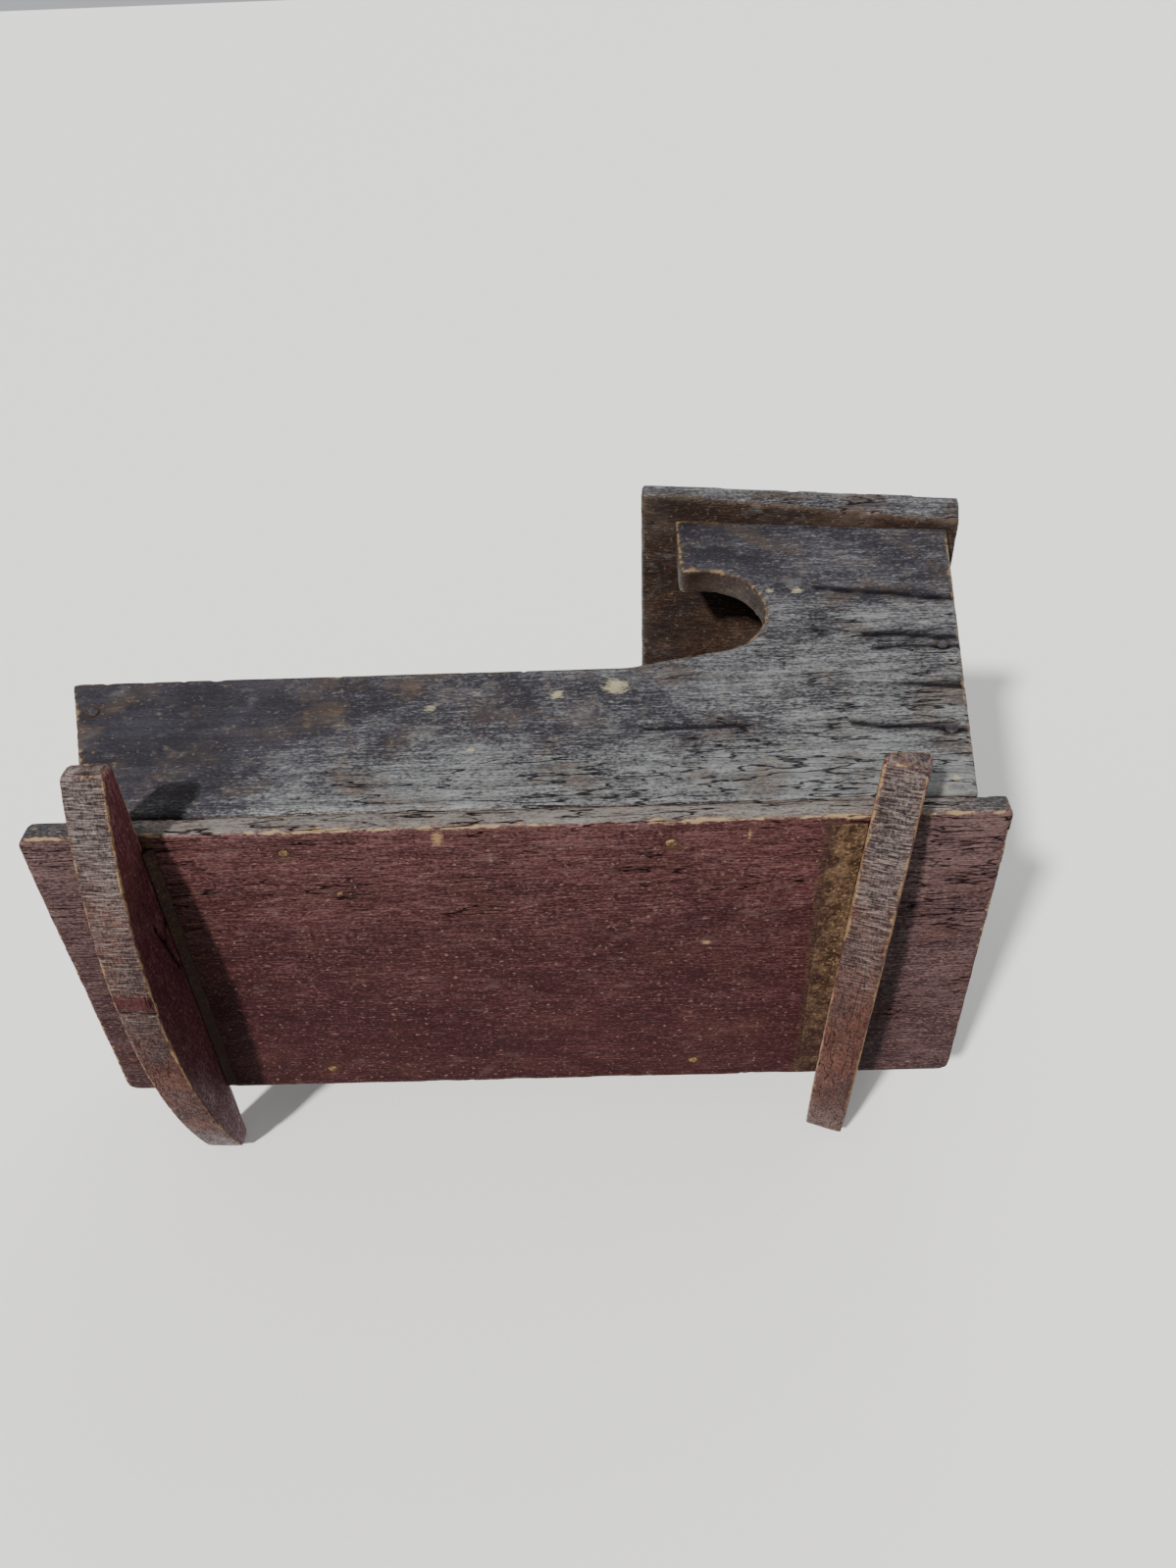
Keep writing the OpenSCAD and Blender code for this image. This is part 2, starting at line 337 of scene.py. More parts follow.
def skin(tree, surface, colour, rough, height):
    """Gives a surface its colour, its roughness and a relief, whose height is in millimetres."""
    bump = add(tree, "Bump", {"Strength": 1.0, "Distance": MM, "Height": height})
    tree.links.new(colour, surface.inputs["Base Color"])
    tree.links.new(rough, surface.inputs["Roughness"])
    tree.links.new(bump.outputs[0], surface.inputs["Normal"])


def clouds(tree, where, scale, detail, roughness, distortion=0.0):
    """Noise with features 1 / scale metres big."""
    look = {"Vector": where, "Scale": scale, "Detail": detail, "Roughness": roughness, "Distortion": distortion}
    return add(tree, "TexNoise", look).outputs["Fac"]


def blend(tree, share, under, over):
    """Lays one colour over another by a share."""
    return add(tree, "Mix", {0: share, 6: under, 7: over}, data_type="RGBA").outputs[2]


def ramp(tree, value, low, high, to_low=0.0, to_high=1.0):
    """A value eased from to_low at low to to_high at high."""
    links = {"Value": value, "From Min": low, "From Max": high, "To Min": to_low, "To Max": to_high}
    return add(tree, "MapRange", links, interpolation_type="SMOOTHSTEP").outputs[0]


def lay(tree, under, over, value, low, high, most=1.0):
    """Lays one colour over another where value passes from low to high, by at most this share."""
    return blend(tree, ramp(tree, value, low, high, 0.0, most), under, over)


def sums(tree, operation, a, b=0.5, c=0.5):
    return add(tree, "Math", {0: a, 1: b, 2: c}, operation=operation).outputs[0]


def weighed(tree, *terms, plus=0.0):
    """The sum of values, each times its weight, and one more number."""
    for value, weight in terms:
        plus = sums(tree, "MULTIPLY_ADD", value, weight, plus)
    return plus


def read(tree, name):
    """A number that worn_board stored for each vertex."""
    return add(tree, "Attribute", attribute_name=name).outputs["Fac"]


# ---------------------------------------------------------------- materials

# What a finish doesn't say of itself. Amounts are the largest share of an effect, from 0 to 1.
USUAL = dict(
    shift=(0.0, 0.0, 0.0),  # moves the patterns, so that no two boards look alike
    cloud=0.6,  # how much the broad blotches count beside the fine grain
    ring_dark=0.3,
    dust=0.3,
    ragged=3.0,  # how far the worn edges wander with the fine patches, in mm
    broken=2.5,  # the same with the broad blotches
    brown=0.5,
    brown_width=1.3,  # in mm
    pale=0.85,
    pale_width=0.55,  # in mm
    rough_low=0.46,
    rough_high=0.7,
)

# Oxblood milk paint brushed on bare pine and rubbed thin: dark red-brown with greyed grain lines, dull, with little
# glints on the crests, pale specks that are partly rubbed paint and partly painted highlight. The board's long edges
# carry the slate paint of the sides, which is the second coat here.
OXBLOOD = dict(
    wood_dark="46291F",
    wood_light="68473A",
    coat_dark="2A0E0F",
    coat_mid="3A1617",
    coat_light="6B4542",
    second_dark="29262A",
    second_mid="3B3738",
    second_light="706A63",
    warm_colour="46261F",
    deep="14090B",
    edge="8F7858",
    freckle_colour="80685A",
    dust_colour="5F4C48",
    stain="5C4632",
    stain_dark="30211A",
    rust="3E2418",
    mark="927250",
    saw_colour="6B4542",
    warm=0.3,
    rub=0.25,
    freckle=0.6,
    ring_dark=0.1,
    cloud=0.3,
    pale_width=0.4,
)

# Slate-blue paint over the same pine, weathered grey: blue-black in the grain, ash-grey on the crests, which is partly
# worn paint and partly painted highlight, brown where it is gone. The inner faces were left brown, which is the second
# coat.
SLATE = dict(
    wood_dark="3E2F24",
    wood_light="5C4937",
    coat_dark="1D1A20",
    coat_mid="2E2B32",
    coat_light="6E6F6D",
    second_dark="231812",
    second_mid="33251D",
    second_light="55463B",
    warm_colour="413730",
    deep="151317",
    edge="86704F",
    freckle_colour="7C6C58",
    dust_colour="66645E",
    stain="5C4936",
    stain_dark="33271F",
    rust="33261C",
    mark="8E866C",
    saw_colour="6E6F6D",
    pale=0.6,
    warm=0.5,
    rub=0.4,
    freckle=0.3,
    rough_low=0.4,
    rough_high=0.64,
)

# The roof board: slate paint on top and on the edges, bare brown pine underneath, painted a little darker than the
# inner faces' bare pine as painted shade.
ROOF = SLATE | dict(
    # the underside's colours: bare pine, a little darker than the sides' inner faces as painted shade
    second_dark="20140D", second_mid="302017", second_light="4C3A2D", shift=(5.0, 2.0, 8.0), pale=0.1, brown=0.0
)

# The rockers: the oxblood coat on the faces, painted lighter and redder than on the bottom board as painted bounce
# light for faces that the lamps leave in shade, and a saw-cut curved edge, grey with handling and bare brown at one
# tip.
SAWN = OXBLOOD | dict(
    # the faces' coat: lighter and redder than the bottom board's, as painted bounce light
    coat_dark="421A1F",
    coat_mid="5A272D",
    coat_light="784C50",
    second_dark="231A1B",
    second_mid="312526",
    second_light="64564F",
    saw_colour="887C74",
    stain="5C3628",
    stain_dark="331A18",
    rust="3A0C0E",
    edge="937553",
    pale_width=0.5,
    brown_width=1.6,
    ragged=2.0,
    broken=1.2,
)


def old_wood(name, grain, finish):
    """Hand-sawn softwood that was coated long ago and has been handled since.

    grain is the axis that the fibres follow, 0 for X and 1 for Y. finish holds the colours and amounts of one coat."""
    material, tree, surface, where = fresh(name)
    look = {key: paint(value) if isinstance(value, str) else value for key, value in (USUAL | finish).items()}
    shift, cloud = look["shift"], look["cloud"]

    def placed(location, along, across, axis=grain):
        """Coordinates in which features come out this long along an axis and this wide across it, in millimetres."""
        scale = [1000 / across] * 3
        scale[axis] = 1000 / along
        return add(tree, "Mapping", {"Vector": where, "Location": location, "Scale": scale}).outputs[0]

    def grains(along, across, detail, roughness, more=0.0):
        """Noise along the fibres. more moves it, so that it differs from the others."""
        at = placed((shift[0] + more, shift[1] - more, shift[2] + more), along, across)
        return clouds(tree, at, 1.0, detail, roughness)

    # growth rings 2 to 3 mm apart, cut through lengthwise, so that they run as long lines on the broad faces
    ring_at = placed([c + 3.0 for c in shift], 40, 2.6)
    bent = {"Scale": 0.34, "Distortion": 4.0, "Detail": 3.0, "Detail Scale": 0.6, "Detail Roughness": 0.55}
    wave = add(tree, "TexWave", {"Vector": ring_at} | bent, wave_type="RINGS", rings_direction="XY"[grain])
    rings = wave.outputs["Fac"]
    # fibres: real ones are 0.04 mm wide, too fine to show, so bundles of 0.25 mm stand for them
    fibres = grains(3.6, 0.25, 3.0, 0.6)
    # a sawn edge shows no fibres but saw marks across its thickness, about 0.25 mm apart
    saw = clouds(tree, placed(shift, 0.24, 2.6, axis=1), 1.0, 2.0, 0.6, 0.35)
    sawn = read(tree, "sawn")
    fibres = sums(tree, "MULTIPLY_ADD", sums(tree, "SUBTRACT", saw, fibres), sawn, fibres)
    salt = grains(0.7, 0.3, 2.0, 0.6, 5.0)  # the crests of single fibres: pale specks that are partly rubbed paint and partly painted glints
    blotch = grains(15.0, 7.0, 4.0, 0.6, 9.0)  # the coat is thicker or thinner
    warm = grains(11.0, 8.0, 3.0, 0.55, 14.0)
    patch = grains(2.6, 0.9, 4.0, 0.65, 2.0)
    speck = grains(0.9, 0.7, 1.0, 0.5, 7.0)
    dust = grains(5.0, 3.2, 4.0, 0.6, 21.0)
    stored = ("arris", "age", "stain", "mark", "tone", "rust", "dark")
    arris, age, stain, mark, tone, rust, dark_line = (read(tree, key) for key in stored)

    # bare wood under everything, in light and dark rings
    figure = weighed(tree, (fibres, 0.6), (rings, 0.5))
    wood = lay(tree, look["wood_dark"], look["wood_light"], figure, 0.35, 0.85)
    # the coat, darker in the valleys between fibres and paler on their crests, which is partly rubbed wear and partly
    # painted highlight; tone picks the second coat
    fine = weighed(tree, (age, 0.1), (blotch, cloud * 0.5), (patch, 0.16), plus=0.01 - cloud * 0.25)
    # the pale crests stand partly for worn paint and partly for painted glints of light
    crest_wear_and_glint = ramp(tree, weighed(tree, (salt, 0.38), (fibres, 0.42), plus=fine), 0.44, 0.7)
    shade = ramp(tree, weighed(tree, (blotch, cloud), (salt, 1 - cloud)), 0.4, 0.58)
    coats = []
    for which in ("coat", "second"):
        dark, mid, light = (look[f"{which}_{part}"] for part in ("dark", "mid", "light"))
        coats.append(blend(tree, crest_wear_and_glint, blend(tree, shade, dark, mid), light))
    colour = blend(tree, tone, *coats)
    colour = lay(tree, colour, look["deep"], rings, 0.62, 0.95, look["ring_dark"])
    colour = lay(tree, colour, look["warm_colour"], warm, 0.5, 0.68, look["warm"])
    # the coat is rubbed through in small patches along the grain, with dust and freckles on it
    worn = weighed(tree, (warm, 0.5), (patch, 0.6))
    colour = lay(tree, colour, wood, worn, 0.6, 0.7, look["rub"])
    colour = lay(tree, colour, look["dust_colour"], dust, 0.56, 0.72, look["dust"])
    colour = lay(tree, colour, look["freckle_colour"], speck, 0.65, 0.74, look["freckle"])
    # along every arris the coat is gone: brown beside it, and pale wood at the very edge
    wander = -(look["ragged"] + look["broken"]) / 2  # both noises lie round 0.5
    ragged = weighed(tree, (arris, 1.0), (patch, look["ragged"]), (blotch, look["broken"]), plus=wander)
    colour = lay(tree, colour, look["wood_dark"], ragged, look["brown_width"], 0.1, look["brown"])
    colour = lay(tree, colour, look["edge"], ragged, look["pale_width"], 0.15, look["pale"])
    # what soaked in or stuck on: old glue and dirt beside the rockers, bare brown on their tips
    uneven = weighed(tree, (blotch, 0.9), (patch, 0.9), plus=-0.9)
    soaked = ramp(tree, sums(tree, "MULTIPLY_ADD", uneven, ramp(tree, stain, 0.0, 0.2), stain), 0.1, 0.9)
    dirt = lay(tree, look["stain_dark"], look["stain"], weighed(tree, (warm, 0.5), (salt, 0.5)), 0.4, 0.6)
    colour = blend(tree, soaked, colour, dirt)
    # a rusty, dirty ring round each nail
    rusty = weighed(tree, (rust, 1.0), (patch, 1.2), plus=-0.6)
    colour = lay(tree, colour, look["rust"], rusty, 0.3, 0.9, 0.75)
    # drying cracks: thin and dark, along the grain, most of them where the board looks oldest, and none in a sawn edge
    split = sums(tree, "ABSOLUTE", sums(tree, "SUBTRACT", grains(16.0, 1.9, 3.0, 0.5, 4.0), 0.5))
    oldest = ramp(tree, weighed(tree, (warm, 1.0), (age, 0.32)), 0.6, 0.72)
    crack = sums(tree, "MULTIPLY", ramp(tree, split, 0.02, 0.003), oldest)
    crack = sums(tree, "MULTIPLY", crack, sums(tree, "SUBTRACT", 1.0, sawn))
    gap = sums(tree, "MAXIMUM", crack, dark_line)
    colour = blend(tree, sums(tree, "MULTIPLY", gap, 0.92), colour, look["deep"])
    # drips and chips of pale paint
    drip = ramp(tree, weighed(tree, (mark, 1.0), (salt, 0.9), (patch, 1.1), plus=-1.0), 0.05, 0.75)
    colour = blend(tree, sums(tree, "MULTIPLY", drip, 0.9), colour, look["mark"])
    # the crests between saw marks are rubbed pale, and the grooves stay dark
    for over, low, high, most in (("saw_colour", 0.53, 0.7, 0.5), ("deep", 0.49, 0.36, 0.6)):
        share = sums(tree, "MULTIPLY", sawn, ramp(tree, saw, low, high, 0.0, most))
        colour = blend(tree, share, colour, look[over])

    teeth = sums(tree, "MULTIPLY", saw, sawn)
    relief = (fibres, 0.16), (salt, 0.1), (rings, 0.05), (crack, -0.25), (patch, 0.14), (teeth, 0.2), (drip, 0.06)
    gloss = weighed(tree, (blotch, 0.5), (salt, 0.5))
    rough = ramp(tree, gloss, 0.4, 0.6, look["rough_high"], look["rough_low"])
    skin(tree, surface, colour, rough, weighed(tree, *relief))
    # the valleys between fibres and the cracks swallow light, so that only the rubbed crests have a sheen
    sheen = sums(tree, "MULTIPLY", ramp(tree, crest_wear_and_glint, 0.0, 1.0, 0.2, 0.5), sums(tree, "SUBTRACT", 1.0, gap))
    tree.links.new(sheen, surface.inputs["Specular IOR Level"])
    surface.inputs["IOR"].default_value = 1.5
    return material


def rusty_iron(name, dark, light, bloom):
    """Old iron nail heads, hammered flat, rusted and half painted over: a dull brown crust with darker pits."""
    material, tree, surface, where = fresh(name)
    crust = clouds(tree, where, 1400.0, 5.0, 0.65)
    pits = add(tree, "TexVoronoi", {"Vector": where, "Scale": 2600.0}, feature="SMOOTH_F1").outputs["Distance"]
    colour = lay(tree, paint(dark), paint(light), crust, 0.38, 0.62)
    colour = lay(tree, colour, paint(bloom), crust, 0.55, 0.7, 0.8)
    colour = lay(tree, colour, paint("1F1611"), pits, 0.35, 0.05, 0.6)
    rough = ramp(tree, crust, 0.3, 0.7, 0.9, 0.6)
    skin(tree, surface, colour, rough, weighed(tree, (pits, 0.08), (crust, 0.16)))
    surface.inputs["Specular IOR Level"].default_value = 0.25  # a rust crust scatters light, and isn't metal any more
    return material


def hide_glue(name, dark, light, crumbs, fade, rim):
    """Hardened animal glue that ran out of the joint, with dust and splinters in it: olive-brown, lumpy and dull.

    It goes over into dirt between the two Y places of fade, and thins out between the two X places of rim, in metres."""
    material, tree, surface, where = fresh(name)
    lumps = clouds(tree, where, 330.0, 5.0, 0.6)
    grit = clouds(tree, where, 1900.0, 3.0, 0.6)
    colour = lay(tree, paint(dark), paint(light), lumps, 0.38, 0.62)
    colour = lay(tree, colour, paint(crumbs), grit, 0.54, 0.68, 0.7)
    colour = lay(tree, colour, paint("221712"), grit, 0.46, 0.34, 0.8)
    place = add(tree, "SeparateXYZ", {"Vector": where}).outputs
    thin = sums(tree, "MULTIPLY_ADD", sums(tree, "SUBTRACT", lumps, 0.5), 3 * MM, place["X"])
    faded = sums(tree, "MAXIMUM", ramp(tree, place["Y"], *fade), ramp(tree, thin, *rim, 0.75, 0.0))
    faded = sums(tree, "MULTIPLY", faded, ramp(tree, lumps, 0.65, 0.4, 0.45, 0.95))
    colour = blend(tree, faded, colour, paint("2E1A18"))
    rough = ramp(tree, lumps, 0.35, 0.65, 0.6, 0.9)
    skin(tree, surface, colour, rough, weighed(tree, (grit, 0.16), (lumps, 0.4)))
    surface.inputs["IOR"].default_value = 1.53
    surface.inputs["Specular IOR Level"].default_value = 0.2  # dust on it takes most of its gloss
    return material


def paper(name, colour):
    """Matt pale paper. Seen from behind it isn't there, so that the floor and the backdrop never hide the cradle."""
    material, tree, surface, where = fresh(name)
    surface.inputs["Base Color"].default_value = colour
    surface.inputs["Roughness"].default_value = 0.9
    surface.inputs["Specular IOR Level"].default_value = 0.2
    tooth = clouds(tree, where, 900.0, 3.0, 0.6)
    bump = add(tree, "Bump", {"Strength": 0.3, "Distance": 0.1 * MM, "Height": tooth})
    tree.links.new(bump.outputs[0], surface.inputs["Normal"])
    behind = add(tree, "NewGeometry").outputs["Backfacing"]
    clear = add(tree, "BsdfTransparent").outputs[0]
    mix = add(tree, "MixShader", {0: behind, 1: surface.outputs[0], 2: clear})
    output = [n for n in tree.nodes if n.type == "OUTPUT_MATERIAL"][0]
    tree.links.new(mix.outputs[0], output.inputs["Surface"])
    return material


# ---------------------------------------------------------------- settings


def length(name, description, usual, least, most):
    """A setting in metres. Its three numbers are in millimetres."""
    limits = dict(default=usual * MM, min=least * MM, max=most * MM)
    return bpy.props.FloatProperty(name=name, description=description, unit="LENGTH", **limits)


def strength(name, description, usual):
    """A setting for how strong a light is."""
    return bpy.props.FloatProperty(name=name, description=description + ", in W/m2", default=usual, min=0)


class CradleLooks(bpy.types.PropertyGroup):
    cell: length("Mesh cell", "Size of the small faces that the boards are rebuilt from", 0.55, 0.2, 2)
    arris_wear: length("Arris wear", "How deep the board edges are worn and dented", 0.2, 0, 2)
    nail_dent: length("Nail dent", "How deep the wood is crushed round each nail head", 0.25, 0, 0.5)
    corner_wear: length("Corner wear", "Radius of the rounded corners of the bottom board", 2.4, 0.2, 6)
    tip_wear: length("Rocker tip wear", "Radius of the rounded tips of the rockers", 1.2, 0.2, 3)
    floor_colour: bpy.props.FloatVectorProperty(
        name="Floor colour",
        description="Colour of the pale floor and backdrop",
        subtype="COLOR",
        size=4,
        default=paint("F3F1ED"),
        min=0,
        max=1,
    )
    key_power: strength("Key light", "Strength of the main light", 5.7)
    fill_power: strength("Fill lights", "Strength of each of the soft fill lights", 1.0)


# ---------------------------------------------------------------- pieces


def board_normal(node, guess):
    """The outward normal of a board's biggest face on the side that guess points to."""
    areas = {}
    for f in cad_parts[node].data.polygons:
        if f.normal.dot(guess) > 0.5:
            key = tuple(round(c, 3) for c in f.normal)
            areas[key] = areas.get(key, 0) + f.area
    return Vector(max(areas, key=areas.get)).normalized()


def axes_from(normal, along):
    """A matrix whose columns are along, the direction across it, and the normal."""
    along = (along - normal * along.dot(normal)).normalized()
    return Matrix((along, normal.cross(along), normal)).transposed()


class CRADLE_OT_bottom_board(bpy.types.Operator):
    """Builds the bottom board with its worn edges, rounded corners and grain"""

    bl_idname = "cradle.bottom_board"
    bl_label = "Bottom Board"

    def execute(self, context):
        looks = context.scene.cradle_looks
        lo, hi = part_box("bottom_board")
        rocker_lo, rocker_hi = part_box("foot_rocker")
        track_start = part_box("head_rocker_glue")[0][0]
        # chips of pale paint on the underside: where, and half how long and wide
        marks = [
            ((-0.0143, -0.0288, lo[2]), (1.3 * MM, 1.9 * MM, MM)),
            ((-0.0308, -0.0179, lo[2]), 0.7 * MM),
            ((0.0269, -0.0045, lo[2]), (1.1 * MM, 0.8 * MM, MM)),
            ((0.0327, -0.0281, lo[2]), (0.5 * MM, 1.6 * MM, MM)),
        ]

        def corners(e):
            a, b = (v.co for v in e.verts)
            if abs(a.z - b.z) < 0.9 * (a - b).length:
                return 0
            return looks.corner_wear * (0.35 if a.x > 0 and a.y < 0 else 1)  # this one corner was handled less

        def carve(p, n):
            under = step(-0.5, -0.9, n[:, 2])
            hollows = under * step(0.35, 0.9, noise(p, (9 * MM, 3 * MM, 3 * MM), 71, 3)) * 0.12 * MM
            ends = step(0.5, 0.9, np.abs(n[:, 0])) * (1 + noise(p, (1, 1.1 * MM, 1), 73, 2)) * 0.06 * MM
            return hollows + ends

        def fields(p, n):
            x, y, z = p.T
            end_face, long_edge = step(0.6, 0.9, np.abs(n[:, 0])), step(0.6, 0.9, np.abs(n[:, 1]))
            # dirt on both sides of the foot rocker, and before the glue track
            beside = step(2.6 * MM, 0.2 * MM, x - rocker_hi[0]) * (x > rocker_hi[0])
            ledge = step(3.0 * MM, 0.3 * MM, rocker_lo[0] - x) * (x < rocker_lo[0])
            track = step(1.6 * MM, 0.2 * MM, track_start - x) * (x < track_start + MM)
            stain = np.maximum.reduce([beside * 0.62, ledge * 0.4, track * 0.6]) * step(-0.4, -0.8, n[:, 2])
            # the strips outside the rockers are greyer, and the middle is darkest towards the left side
            age = step(0.045, 0.062, x) * 0.5 + step(-0.064, -0.072, x) * 0.3
            age += step(0.0, -0.026, y) * 0.45 - step(-0.005, 0.025, y) * 0.35
            age += long_edge * (0.8 - 2 * step(0.055, 0.07, np.abs(x)))
            grey = 0.3 * np.maximum(step(0.047, 0.06, x), step(-0.064, -0.07, x))
            # the sides stand on the upper long edges
            kept = 3 * step(hi[2] - 1.6 * MM, hi[2] - 0.8 * MM, z) * (np.abs(n[:, 1]) > 0.3)
            tone = np.maximum(long_edge, grey)
            return dict(stain=stain, age=age, sawn=end_face * 0.8, kept=kept, mark=spots(p, marks), tone=tone)

        oxblood = old_wood("oxblood_pine_bottom", 0, OXBLOOD)
        worn_board("bottom_board", oxblood, 5, fields, corners=corners, carve=carve)
        return {"FINISHED"}


# drying cracks in the side boards, mostly in from the head end: from one (x, z) to another, and half the width, in mm
SIDE_CRACKS = {
    "side_board_right": (
        ((49.3, 63.3), (73, 59.3), 0.6),
        ((56, 51.6), (73, 49.8), 0.65),
        ((57, 48.2), (72, 48.1), 0.45),
        ((58.8, 39.7), (71, 38.9), 0.5),
        ((51.2, 31.6), (70, 29.4), 0.55),
        ((17.8, 31.9), (34, 31.8), 0.35),
    ),
    "side_board_left": (
        ((45, 58), (72, 55.5), 0.45),
        ((58, 44), (72, 43), 0.4),
        ((40, 28), (70, 26.5), 0.4),
        ((-60, 33), (-72, 33.5), 0.3),
    ),
}

# cream paint that dripped on the right side board: where in the X and Z of the row, and half how big
DRIPS = (
    ((-0.0170, 0, 0.0374), (1.4 * MM, 1, 0.9 * MM)),
    ((-0.0098, 0, 0.0283), 0.9 * MM),
    ((0.0037, 0, 0.0395), (1.5 * MM, 1, 1.1 * MM)),
    ((0.0134, 0, 0.0410), (2.9 * MM, 1, 2.2 * MM)),
    ((0.0458, 0, 0.0624), (1.6 * MM, 1, MM)),
    ((0.0411, 0, 0.0626), (1.1 * MM, 1, 0.8 * MM)),
    ((0.0626, 0, 0.0182), 0.9 * MM),
    ((0.0649, 0, 0.0199), 0.9 * MM),
)


class CRADLE_OT_side_boards(bpy.types.Operator):
    """Builds the two flared side boards with their notch and hood part"""

    bl_idname = "cradle.side_boards"
    bl_label = "Side Boards"

    def execute(self, context):
        for side, node in ((-1, "side_board_right"), (1, "side_board_left")):
            normal = board_normal(node, Vector((0, side, 0)))
            turn = axes_from(normal, Vector((1, 0, 0)))

            def cracks(p, n):
                """How deep into a drying crack each point is, 0 to 1."""
                flat = p * (1, 0, 1)
                flat[:, 2] += 0.5 * MM * noise(p * (1, 0, 0), (6 * MM, 1, 1), 43 + side, 3)
                best = np.zeros(len(p))
                for a, b, half in SIDE_CRACKS[node]:
                    gap = distance_to(flat, [(np.array((a[0], 0, a[1])) * MM, np.array((b[0], 0, b[1])) * MM)])
                    run = step(-1.3, -0.3, noise(p, (5 * MM, 4 * MM, 4 * MM), 57 + side + int(a[1]), 2))
                    best = np.maximum(best, step(half * MM * 2, half * MM * 0.5, gap) * run)
                return best * step(0.5, 0.9, n @ np.array(normal))

            def carve(p, n):
                return cracks(p, n) * 0.3 * MM

            def fields(p, n):
                x, _, z = p.T
                inner = step(0.9, 0.4, n @ np.array(normal))
                hood, low = step(0.012, 0.05, x), step(0.036, 0.019, z)
                age = -0.9 + 1.1 * low + hood * (0.8 - 0.6 * low) - 0.9 * step(0.052, 0.066, z)
                age += step(-0.055, -0.01, x) * 0.8 - step(-0.03, -0.06, x) * 0.6
                kept = 3 * step(0.0212, 0.0185, z)  # the lower edge stands on the bottom board
                mark = spots(p * (1, 0, 1), DRIPS if side < 0 else ()) - 2 * inner
                return dict(age=age, tone=inner, kept=kept, dark=cracks(p, n), mark=mark)

            name = "slate_pine_" + ("left" if side > 0 else "right")
            slate = old_wood(name, 0, SLATE | dict(shift=(side * 3.0, 1.0, side * 2.0)))
            worn_board(node, slate, 31 + side, fields, turn=turn, cut_out=True, carve=carve)
        return {"FINISHED"}


class CRADLE_OT_end_boards(bpy.types.Operator):
    """Builds the raked foot board and head board between the sides"""

    bl_idname = "cradle.end_boards"
    bl_label = "End Boards"

    def execute(self, context):
        for way, node in ((-1, "foot_board"), (1, "head_board")):
            normal = board_normal(node, Vector((way, 0, 0)))
            turn = axes_from(normal, Vector((0, 1, 0)))

            def fields(p, n):
                low, top_edge = step(0.03, 0.018, p[:, 2]), step(0.6, 0.9, n[:, 2])
                return dict(age=low * 0.6, sawn=top_edge * 0.6, tone=step(0.9, 0.4, n @ np.array(normal)))

            slate = old_wood("slate_pine_" + node, 1, SLATE | dict(shift=(2.0, way * 4.0, 6.0)))
            worn_board(node, slate, 51 + way, fields, turn=turn)
        return {"FINISHED"}


class CRADLE_OT_hood_roof(bpy.types.Operator):
    """Builds the flat roof board of the hood"""

    bl_idname = "cradle.hood_roof"
    bl_label = "Hood Roof"

    def execute(self, context):
        turn = axes_from(board_normal("hood_roof", Vector((0, 0, 1))), Vector((1, 0, 0)))

        def fields(p, n):
            under, end_face = step(-0.7, -0.88, n[:, 2]), step(0.6, 0.9, np.abs(n[:, 0]))
            return dict(age=0.2 * (1 - under), sawn=end_face * 0.7, tone=under)

        worn_board("hood_roof", old_wood("slate_pine_roof", 0, ROOF), 61, fields, turn=turn, wear=1.1)
        return {"FINISHED"}


# a small forked split in the foot rocker, in the face that looks along the board: (y, z) to (y, z), in mm
SPLIT = (((-16.5, 7.9), (-10.7, 9.4)), ((-10.7, 9.4), (-4.3, 10.7)), ((-10.7, 9.4), (-14.5, 11.6)))


